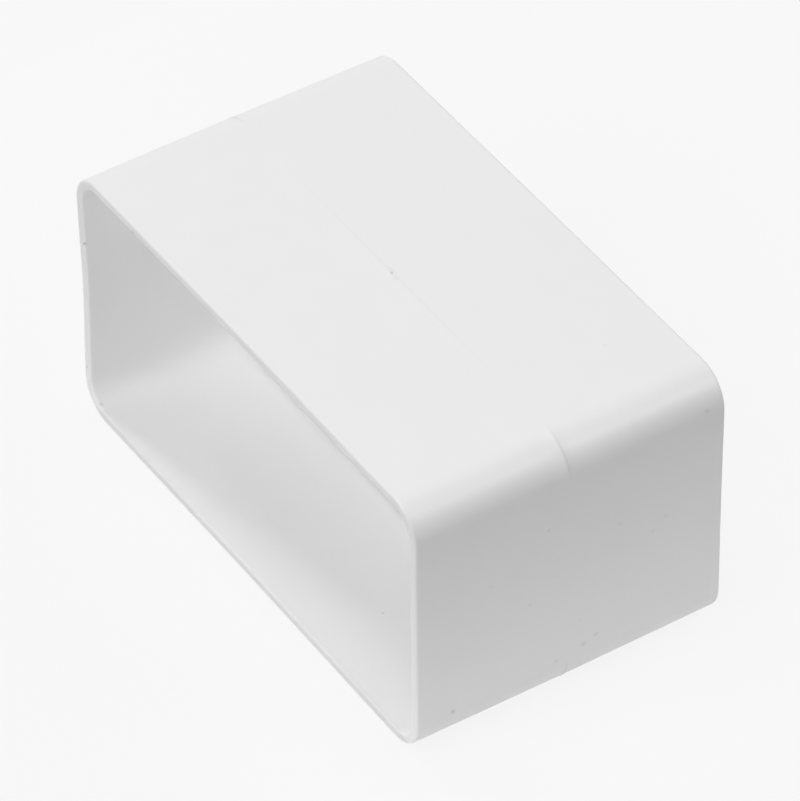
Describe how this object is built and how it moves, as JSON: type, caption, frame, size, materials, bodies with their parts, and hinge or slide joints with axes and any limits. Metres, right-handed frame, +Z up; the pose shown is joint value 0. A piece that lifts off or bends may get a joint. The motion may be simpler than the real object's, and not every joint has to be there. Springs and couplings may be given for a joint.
{
  "type": "flat duct connector",
  "caption": "Short white plastic sleeve of rounded rectangular section, open at both ends, that joins two lengths of flat ventilation duct end to end.",
  "frame": {"origin": "under the middle of the sleeve, on the lowest line of the wide wall that it lies on", "axes": "+X across the duct's width, +Y along the duct, +Z up, across the duct's height"},
  "size_m": [0.1148, 0.066, 0.0589],
  "materials": {
    "white_plastic": "satin as moulded"
  },
  "bodies": {
    "root": {"connector_sleeve": "white_plastic"}
  },
  "joints": []
}
